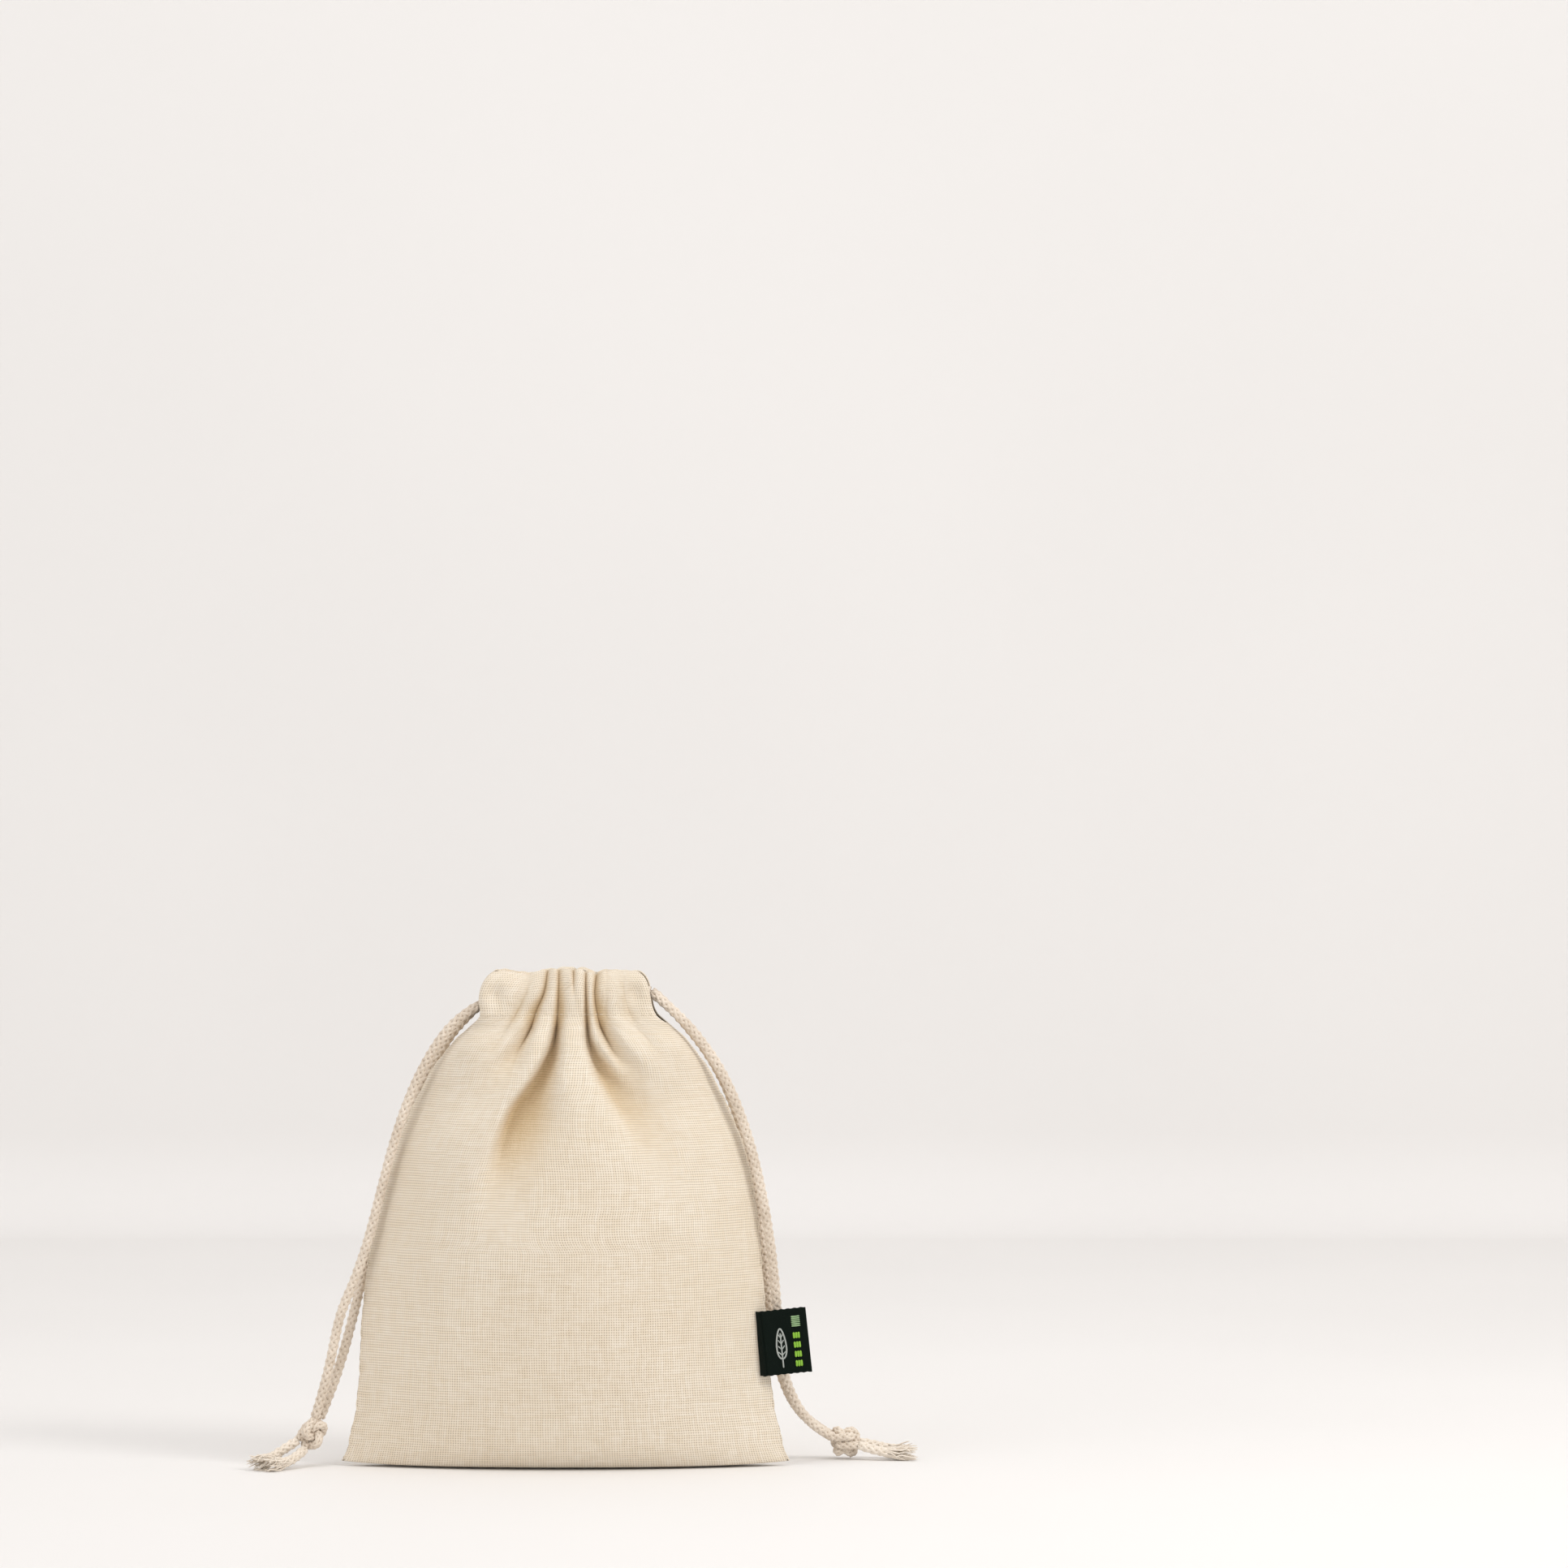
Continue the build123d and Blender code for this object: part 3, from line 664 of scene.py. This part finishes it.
def panel_points(folds, seed):
    """Rows of a front panel and its casing, in millimetres, each point's share of its fold's depth, the
    flat height of each row, and the last row of the wall."""
    rows = [floor_row((k + 0.4) / (FLOOR_ROWS + 0.4), folds, seed) for k in range(FLOOR_ROWS)]
    for k in range(WALL_ROWS + 1):
        share = k / WALL_ROWS
        z = STITCH_Z * share
        x, y, level, core, deep = section(z, folds, seed)
        rows.append((x, y, level + foot_lift(x) * (1 - smoothstep(0, 8, z)), core, deep))
    wall_end = len(rows) - 1
    rows += [casing_row((k + 1) / CASING_ROWS, folds, seed) for k in range(CASING_ROWS)]
    points = np.stack([spread_columns(*row) for row in rows])
    soften = np.ones(len(rows)) * 0.5
    soften[wall_end - 12:] = 0.16
    for _ in range(3):
        near = points[1:-1, 1:-1]
        around = (points[:-2, 1:-1] + points[2:, 1:-1] + points[1:-1, :-2] + points[1:-1, 2:]) / 4
        points[1:-1, 1:-1] = near + soften[1:-1, None, None] * (around - near)
    points, deep = points[..., :3], points[..., 3]
    up = np.linalg.norm(np.diff(points, axis=0), axis=2)
    middle = np.median(up, axis=1)
    flat = np.concatenate([[0], np.cumsum(middle)])
    return points, deep, flat, wall_end


def cloth_piece(side, folds, seed, cotton, cut_edge):
    """Panel and casing of one side, one cloth: side is -1 at the front and 1 at the back."""
    points, deep, flat, wall_end = panel_points(folds, seed)
    points[..., 1] *= -side
    across = np.linspace(-PANEL_WIDTH / 2, PANEL_WIDTH / 2, COLUMNS + 1)
    if side > 0:
        points, deep = points[:, ::-1], deep[:, ::-1]
    uv = np.stack(np.meshgrid(across, flat), axis=-1)
    name = "front" if side < 0 else "back"
    mesh = grids(f"{name}_cloth", [(points * MM, uv * MM)])
    # the fold depth share, which the cloth's material reads to paint warm shade into the folds
    pocket = mesh.attributes.new("pocket", "FLOAT", "POINT")
    pocket.data.foreach_set("value", deep.astype(np.float32).ravel())
    made = piece(f"{name}_cloth", mesh, cotton, "bag", [f"{name}_panel", f"{name}_casing"])
    mesh.materials.append(cut_edge)
    wall = made.modifiers.new("cloth", "SOLIDIFY")
    wall.thickness = CLOTH * MM
    wall.offset = -1
    wall.material_offset_rim = 1
    return points, wall_end


# ==================== cords ====================

def spline_line(points):
    """Smooth line through a route: its NURBS spline, read back as points, in metres."""
    curve = bpy.data.curves.new("route", "CURVE")
    curve.dimensions = "3D"
    curve.resolution_u = 12
    spline = curve.splines.new("NURBS")
    spline.points.add(len(points) - 1)
    for point, place in zip(spline.points, points):
        point.co = (*(c * MM for c in place), 1)
    spline.order_u = 3
    spline.use_endpoint_u = True
    holder = bpy.data.objects.new("route", curve)
    mesh = bpy.data.meshes.new_from_object(holder)
    line = np.array([v.co for v in mesh.vertices], float)
    bpy.data.meshes.remove(mesh)
    bpy.data.objects.remove(holder)
    bpy.data.curves.remove(curve)
    return line


def braid(line, diameter=CORD * MM, start=0.0, step=YARN_STEP * MM):
    """Yarns of a round braid along a line, four each way, over one and under one."""
    scale = diameter / (CORD * MM)
    line, at = resampled(line, step)
    _, normal, binormal = sweep_frames(line)
    theta = 2 * math.pi * (at + start) / (BRAID_PITCH * MM * scale)
    sheets = []
    for way in (1, -1):
        for k in range(YARNS):
            angle = way * theta + k * 2 * math.pi / YARNS
            radius = (YARN_ORBIT + way * YARN_RISE * np.cos(YARNS * theta)) * MM * scale
            outward = np.cos(angle)[:, None] * normal + np.sin(angle)[:, None] * binormal
            path = line + radius[:, None] * outward
            sheets.append(tube(path, YARN * MM * scale, start=start + 0.01 * k))
    return sheets


def braided_piece(name, line, cotton, body, replaces):
    """Stretch of cord along a line."""
    mesh = grids(name, braid(line))
    closed_tube(mesh)
    return piece(name, mesh, cotton, body, replaces)


def drape(line, low):
    """Keeps points above a height."""
    line[:, 2] = np.maximum(line[:, 2], low)
    return line


def frayed_tail(name, points, cotton, body, replaces, seed):
    """Short end of a cord: a braid that opens into its separate, curling plies."""
    rng = random.Random(seed)
    line, _ = resampled(spline_line(points), 0.4 * MM)
    solid = line[: max(4, int(len(line) * 0.7))]
    sheets = braid(solid)
    _, normal, binormal = sweep_frames(line)  # two ways across the cord at each point
    direction = line[-1] - line[-4]
    direction /= np.linalg.norm(direction)
    for _ in range(PLIES):
        angle, lean = rng.uniform(0, 2 * math.pi), rng.uniform(0.2, 1.0)
        begin = rng.uniform(0.5, 0.72)
        reach = rng.uniform(0.5, 5.0) * MM
        curl, phase = rng.uniform(0.2, 1.0) * MM, rng.uniform(0, 6.28)
        first = int(begin * (len(line) - 1))
        beyond = line[-1] + direction * np.linspace(0.3, 1, 5)[:, None] * reach
        base = np.concatenate([line[first:], beyond])
        n = np.concatenate([normal[first:], np.repeat(normal[-1:], 5, 0)])
        b = np.concatenate([binormal[first:], np.repeat(binormal[-1:], 5, 0)])
        share = np.linspace(0, 1, len(base))
        out = (1.15 + 2.6 * lean * share ** 1.4) * MM
        twist = angle + 1.4 * share * rng.uniform(-1, 1)
        wave = curl * np.sin(share * rng.uniform(5, 11) + phase) * share
        path = base + out[:, None] * (np.cos(twist)[:, None] * n + np.sin(twist)[:, None] * b)
        path += wave[:, None] * b + 0.6 * wave[::-1, None] * n
        path, _ = resampled(drape(path, 0.3 * MM), 0.9 * MM)
        sheets.append(tube(path, rng.uniform(0.2, 0.4) * MM, sides=5, taper=0.45))
    mesh = grids(name, sheets)
    closed_tube(mesh)
    return piece(name, mesh, cotton, body, replaces)


def knot_lines(ends, centre, size, facing):
    """Two lines side by side round an overhand knot, from the strands' ends to the tails' starts."""
    centre, facing = np.array(centre), np.array(facing, float)
    enter = np.mean([ends[0], ends[1]], axis=0)
    leave = np.mean([ends[2], ends[3]], axis=0)
    axis = (leave - enter) / np.linalg.norm(leave - enter)
    facing -= axis * (facing @ axis)
    facing /= np.linalg.norm(facing)
    up = np.cross(facing, axis)
    lines = []
    for k in (0, 1):
        lift = 1.35 if k == 0 else -1.35
        t = np.linspace(math.pi + 0.42, 3 * math.pi - 0.42, 17)
        x = (np.sin(t) + 2 * np.sin(2 * t)) * size
        y = (np.cos(t) - 2 * np.cos(2 * t)) * size
        w = -np.sin(3 * t) * 2.3 + lift
        loop = centre + x[:, None] * axis + y[:, None] * up + w[:, None] * facing
        lines.append([ends[k], *loop.tolist(), ends[2 + k]])
    return lines


# ==================== stitches and small trim ====================

def stitch_row(name, cloth_rows, side, cotton, replaces):
    """Short stitches along the cloth's row under the casing, each a small tube sunk at both ends."""
    points, wall_end = cloth_rows
    line = points[wall_end + 1] * MM
    line, _ = resampled(line, 0.35 * MM)
    out = np.array([0, side, 0]) * 0.2 * MM
    sheets = []
    stride = 7
    for first in range(4, len(line) - stride, stride):
        part = line[first:first + stride - 1]
        bow = np.sin(np.linspace(0, math.pi, len(part)))[:, None]
        sheets.append(tube(part + out * (bow - 0.6), 0.17 * MM, sides=5, start=0.003 * first))
    mesh = grids(name, sheets)
    closed_tube(mesh)
    return piece(name, mesh, cotton, "bag", replaces)


def overlock(name, path, width, facing, cotton, cloth, replaces):
    """Seam allowance inside the bag: a strip of cloth with overlock thread laced over its edge."""
    path = np.array(path, float)
    line, at = resampled(path, 1.0)
    inward = np.array(facing, float)
    share = np.linspace(0, 1, 9)
    wavy = 0.25 * np.sin(at / 3.1)
    strip = line[:, None] + inward * share[None, :, None] * width
    strip[:, :, 1] += wavy[:, None] * share[None] + 0.01
    uv = np.stack(np.broadcast_arrays(share[None] * width, at[:, None]), -1)
    mesh = grids(f"{name}_cloth", [(strip * MM, uv * MM)])
    made = piece(f"{name}_cloth", mesh, cloth, "bag", replaces)
    solid = made.modifiers.new("two_layers", "SOLIDIFY")
    solid.thickness = 0.9 * MM
    solid.offset = 0
    fine, along = resampled(path, 0.4)
    phase = 2 * math.pi * along / LACE_PITCH
    lace = fine + inward * (width - 1.5 + 1.5 * np.cos(phase))[:, None]
    lace[:, 1] += 0.72 * np.sin(phase) + 0.2 * np.sin(along / 3.1)
    mesh = grids(f"{name}_thread", [tube(lace * MM, 0.16 * MM, sides=5)])
    closed_tube(mesh)
    return piece(f"{name}_thread", mesh, cotton, "bag")


def bartack(name, side, cotton, replaces):
    """Dense zigzag of thread across the seam, under the slit."""
    lo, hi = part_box(name)
    along = np.linspace(0, 1, 90)
    z = lo.z + (hi.z - lo.z) * along
    x = [edge_x(side, level / MM) * MM - side * 0.5 * MM for level in z]
    y = 1.2 * MM * np.sin(along * BARTACK_TURNS * math.pi * 2)
    mesh = grids(f"{name}_thread", [tube(np.stack([x, y, z], 1), 0.2 * MM, sides=5)])
    closed_tube(mesh)
    return piece(f"{name}_thread", mesh, cotton, "bag", replaces)


# ==================== label ====================

LABEL_HINGE = Vector((65.75, -4.3, 40.95))
LABEL_LEAN = math.radians(6.1)
LABEL_HEIGHT = 21.5
LABEL_REACH = 15.0
LABEL_GAP = 0.75
LABEL_ROOT = 4.4
LABEL_TAPE = 0.35
LABEL_HALF = 0.45


def on_label(x, y, z):
    """A place on the label, from the fold line, in metres in the bag's frame."""
    turned = Vector((x * math.cos(LABEL_LEAN) - z * math.sin(LABEL_LEAN), y,
                     x * math.sin(LABEL_LEAN) + z * math.cos(LABEL_LEAN)))
    return (LABEL_HINGE + turned) * MM


def label_bow(x, z):
    """How far the flap's surface leaves its plane."""
    return 0.35 * math.sin(x / 6.0) + 0.22 * math.sin(z / 5.0 + 0.6) * (x / LABEL_REACH)


def folded_tape(name, start, stop, material_used, body, replaces):
    """Tape from start to its outer fold and back, one thin sheet with thickness."""
    run = stop - start
    radius = LABEL_HALF - LABEL_TAPE / 2
    flat = np.linspace(start, stop - radius, 26)
    turn = np.linspace(-math.pi / 2, math.pi / 2, 9)[1:-1]
    outline = [(x, -radius) for x in flat]
    outline += [(stop - radius + radius * math.cos(a), radius * math.sin(a)) for a in turn]
    outline += [(x, radius) for x in flat[::-1]]
    z = np.linspace(-LABEL_HEIGHT / 2, LABEL_HEIGHT / 2, 40)
    points = np.zeros((len(z), len(outline), 3))
    uv = np.zeros((len(z), len(outline), 2))
    for i, level in enumerate(z):
        along = 0.0
        for j, (x, y) in enumerate(outline):
            if j:
                along += math.dist(outline[j], outline[j - 1])
            leaf = 1 if y > 0 else -1
            slack = 0.056 * leaf * math.sin(level / 2.1 + x) * math.sin(math.pi * (x - start) / run)
            ragged = 0.12 * math.sin(x * 2.9) * (abs(level) / (LABEL_HEIGHT / 2)) ** 8
            behind = 2.4 * smoothstep(0.2, -2.4, x)
            bow = label_bow(x, level) * smoothstep(0.0, 3.0, x)
            points[i, j] = on_label(x, y + bow + behind - slack, level + ragged)
            uv[i, j] = (along * MM, level * MM)
    mesh = grids(name, [(points, uv)])
    made = piece(name, mesh, material_used, body, replaces)
    solid = made.modifiers.new("tape", "SOLIDIFY")
    solid.thickness = LABEL_TAPE * MM
    solid.offset = 0
    return made


def label_marks(light, green, soft):
    """Plain leaf, a row of blocks and a small patch, raised like a woven pattern on the label's front."""
    front = -LABEL_HALF - 0.08

    def ribbon(path, half):
        line = [on_label(x, front + label_bow(x, z) * smoothstep(0.0, 3.0, x), z) for x, z in path]
        return tube(resampled(np.array(line), 0.25 * MM)[0], half * MM)

    leaf, bars, patch, outline = [], [], [], []
    stem, low, high, width = 5.9, -5.6, 4.4, 2.0
    for k in range(49):
        t = 2 * math.pi * k / 48
        along = (1 - math.cos(t)) / 2
        outline.append((stem + width * math.sin(t) * (1 - 0.45 * along), low + (high - low) * along))
    leaf.append(ribbon(outline, 0.3))
    leaf.append(ribbon([(stem, -8.6), (stem, 3.0)], 0.27))
    for k in range(4):
        foot = -4.4 + 1.9 * k
        for side in (-1, 1):
            leaf.append(ribbon([(stem, foot), (stem + side * (1.35 - 0.2 * k), foot + 1.3)], 0.2))
    for k in range(4):
        foot = -8.6 + 3.1 * k
        for x in (10.4, 11.2, 12.0):
            bars.append(ribbon([(x, foot), (x, foot + 2.1)], 0.42))
    for k in range(6):
        patch.append(ribbon([(9.9, 4.9 + 0.62 * k), (12.9, 4.9 + 0.62 * k)], 0.26))
    marks = [("label_leaf", leaf, light), ("label_bars", bars, green), ("label_patch", patch, soft)]
    for name, sheets, used in marks:
        mesh = grids(name, sheets)
        closed_tube(mesh)
        piece(name, mesh, used, "label_flap")


# ==================== stage ====================

WALL_Y = 1.02


def stage(floor_material):
    """Pale floor that rises into a backdrop, soft lights and the camera."""
    bm = bmesh.new()
    edge = [bm.verts.new((-5, -4, 0)), bm.verts.new((5, -4, 0))]
    bm.edges.new(edge)
    profile = [(WALL_Y - 0.05, 0.0)]
    profile += [(WALL_Y - 0.05 + 0.05 * math.sin(a), 0.05 - 0.05 * math.cos(a))
                for a in np.linspace(0.2, math.pi / 2, 8)] + [(WALL_Y, 4.0)]
    last, here = list(bm.edges), (-4.0, 0.0)
    for y, z in profile:
        made = bmesh.ops.extrude_edge_only(bm, edges=last)["geom"]
        verts = [g for g in made if isinstance(g, bmesh.types.BMVert)]
        bmesh.ops.translate(bm, verts=verts, vec=(0, y - here[0], z - here[1]))
        last, here = [g for g in made if isinstance(g, bmesh.types.BMEdge)], (y, z)
    bmesh.ops.recalc_face_normals(bm, faces=bm.faces)
    mesh = bpy.data.meshes.new("floor")
    bm.to_mesh(mesh)
    bm.free()
    mesh.materials.append(floor_material)
    mesh.shade_smooth()
    floor = bpy.data.objects.new("floor", mesh)
    bpy.context.scene.collection.objects.link(floor)

    def softbox(name, place, aim, size, power, colour):
        lamp = bpy.data.lights.new(name, "AREA")
        lamp.shape, lamp.size, lamp.energy, lamp.color = "SQUARE", size, power, colour
        holder = bpy.data.objects.new(name, lamp)
        holder.location = place
        holder.rotation_euler = (Vector(aim) - Vector(place)).to_track_quat("-Z", "Y").to_euler()
        bpy.context.scene.collection.objects.link(holder)

    softbox("key", (0.95, -0.6, 0.85), (0, 0, 0.1), 0.4, 6.6, (1.0, 0.99, 0.975))
    softbox("fill", (-1.1, -1.0, 0.5), (0, 0, 0.08), 0.9, 3.9, (1.0, 0.995, 0.99))
    softbox("wall_wash", (0.0, -0.1, 2.0), (0, WALL_Y, 0.6), 1.6, 13.0, (1.0, 1.0, 1.0))
    world = bpy.data.worlds.new("studio")
    world.use_nodes = True
    world.node_tree.nodes["Background"].inputs["Color"].default_value = (1.0, 0.98, 0.97, 1)
    world.node_tree.nodes["Background"].inputs["Strength"].default_value = 0.68
    scene = bpy.context.scene
    scene.world = world
    scene.view_settings.view_transform = "Standard"

    lens = bpy.data.cameras.new("camera")
    lens.lens, lens.sensor_width = 135.0, 36.0
    lens.clip_start, lens.clip_end = 0.05, 20
    camera = bpy.data.objects.new("camera", lens)
    camera.location = (0.0726, -1.956, 0.2268)
    camera.rotation_euler = (math.pi / 2, 0, 0)
    scene.collection.objects.link(camera)
    scene.camera = camera


# ==================== the bag ====================

weave, fibre = weave_group(), fibre_group()
cotton_cloth = muslin(weave)
cotton_cord = cord_cotton("undyed_cord", fibre, (0.84, 0.745, 0.635, 1), (0.64, 0.54, 0.435, 1))
cotton_ends = cord_cotton("frayed_cotton", fibre, (0.88, 0.80, 0.70, 1), (0.76, 0.67, 0.56, 1))
cotton_thread = cord_cotton("sewing_thread", fibre, (0.86, 0.77, 0.62, 1), (0.74, 0.64, 0.50, 1))
tape = label_tape()

stage(plain_floor())

front_rows = cloth_piece(-1, FRONT_FOLDS, 0.7, cotton_cloth, cotton_thread)
back_rows = cloth_piece(1, BACK_FOLDS, 2.3, cotton_cloth, cotton_thread)
stitch_row("front_casing_stitches", front_rows, -1, cotton_thread, ["front_casing_stitch"])
stitch_row("back_casing_stitches", back_rows, 1, cotton_thread, ["back_casing_stitch"])

# Side, height in the casings, both strands and tails, the knot's middle, and the way it faces.
CORDS = {
    "left": (-1, LEFT_CORD_Z, LEFT_STRAND_FRONT, LEFT_STRAND_BACK, LEFT_TAIL_FRONT, LEFT_TAIL_BACK,
             (-84.3, -0.6, 10.9), (0.25, -1, 0.1)),
    "right": (1, RIGHT_CORD_Z, RIGHT_STRAND_FRONT, RIGHT_STRAND_BACK, RIGHT_TAIL_FRONT, RIGHT_TAIL_BACK,
              (93.0, 19.4, 5.9), (-0.1, -0.25, 1)),
}
for name, (side, level, front, back, tail_front, tail_back, centre, facing) in CORDS.items():
    ends, pulled = f"{name}_cord_ends", f"{name}_drawcord"
    tails = [
        frayed_tail(f"{name}_frayed_{where}", route, cotton_ends, ends, [f"{name}_tail_{where}"], seed + side)
        for where, route, seed in (("front", tail_front, 3), ("back", tail_back, 8))
    ]
    sheets = []
    for route in knot_lines([front[-1], back[-1], tail_front[0], tail_back[0]], centre, KNOT_SIZE, facing):
        sheets += braid(drape(spline_line(route), 1.7 * MM), diameter=KNOT_CORD * MM, step=0.5 * MM)
    mesh = grids(f"{name}_overhand_knot", sheets)
    closed_tube(mesh)
    knot = piece(f"{name}_overhand_knot", mesh, cotton_cord, ends, [f"{name}_knot"])
    for where, route in (("front", front), ("back", back)):
        line = spline_line(route)
        strand = braided_piece(f"{name}_{where}_strand", line, cotton_cord, ends,
                               [f"{name}_strand_{where}"])
        y = -CORD_OFFSET if where == "front" else CORD_OFFSET
        run = [(side * x, y, level) for x in RUN_STOPS]
        braided_piece(f"{name}_{where}_run", spline_line(run), cotton_cord, pulled,
                      [f"{name}_cord_{where}_run"])
    turn = [(-side * (BIGHT_X + CORD_OFFSET * math.sin(a) ** 0.8), -CORD_OFFSET * math.cos(a), level)
            for a in np.linspace(0, math.pi, 9)]
    braided_piece(f"{name}_turn_back", spline_line(turn), cotton_cord, "bag", [f"{name}_cord_bight"])

for name, side in (("left", -1), ("right", 1)):
    path = [(edge_x(side, z) - side * SEAM_INSET, 0.0, z) for z in np.linspace(6, 144, 24)]
    overlock(f"{name}_side_seam", path, SEAM_ALLOWANCE, (-side, 0, 0), cotton_thread, cotton_cloth,
             [f"{name}_side_seam"])
    bartack(f"{name}_slit_bartack", side, cotton_thread, [f"{name}_slit_bartack"])
overlock("bottom_seam", [(-66, 0, 0.9), (-20, 0, 0.8), (20, 0, 0.8), (66, 0, 0.9)], SEAM_ALLOWANCE, (0, 0, 1),
         cotton_thread, cotton_cloth, ["bottom_seam"])

folded_tape("label_flap_tape", LABEL_GAP * 0.35, LABEL_REACH, tape, "label_flap", ["label"])
folded_tape("label_sewn_end", -LABEL_ROOT, LABEL_GAP * 0.3, tape, "bag", ["label_root"])
label_marks(label_yarn("pale_grey_yarn", (0.50, 0.53, 0.50, 1), (0.26, 0.28, 0.26, 1)),
            label_yarn("leaf_green_yarn", (0.33, 0.62, 0.07, 1), (0.18, 0.38, 0.04, 1)),
            label_yarn("soft_green_yarn", (0.42, 0.60, 0.33, 1), (0.16, 0.28, 0.13, 1)))
